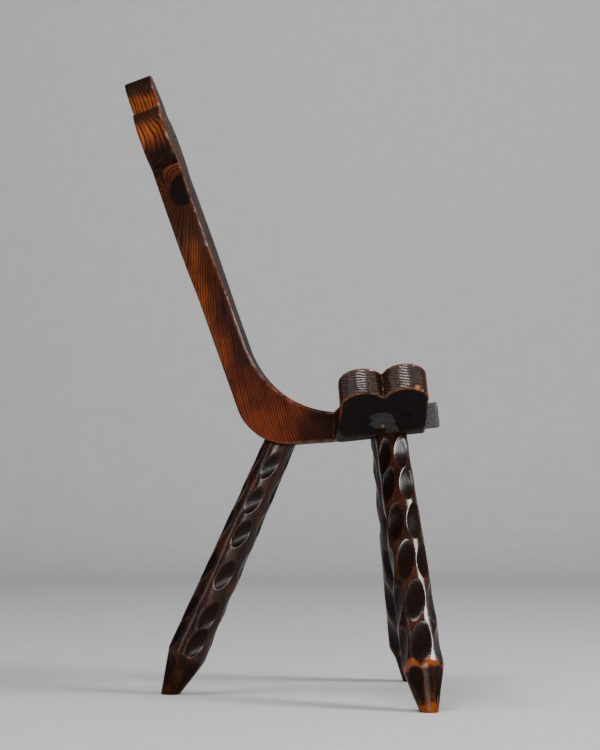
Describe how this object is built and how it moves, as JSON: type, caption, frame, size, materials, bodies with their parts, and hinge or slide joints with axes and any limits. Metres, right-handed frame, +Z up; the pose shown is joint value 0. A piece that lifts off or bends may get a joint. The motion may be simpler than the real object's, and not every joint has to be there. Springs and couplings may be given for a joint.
{
  "type": "milking stool",
  "caption": "Low wooden stool with splayed, gouge-carved legs, a lobed saddle seat and a tall back board that bends into the seat.",
  "frame": {"origin": "on the floor, under the centre of the overall box", "axes": "+X towards the front of the seat, +Y towards the sitter's left, +Z up"},
  "size_m": [0.4068, 0.4216, 0.793],
  "materials": {
    "back_wood": "worn gloss",
    "seat_wood": "worn gloss",
    "leg_wood": "worn gloss",
    "wedge_wood": "dry satin"
  },
  "bodies": {
    "root": {"seat_saddle": "seat_wood", "back_board": "back_wood", "leg_rear": "leg_wood", "leg_front_right": "leg_wood", "leg_front_left": "leg_wood", "wedge_rear": "wedge_wood", "wedge_front_right": "wedge_wood", "wedge_front_left": "wedge_wood", "tenon_peg_right": "wedge_wood", "tenon_peg_left": "wedge_wood"}
  },
  "joints": []
}
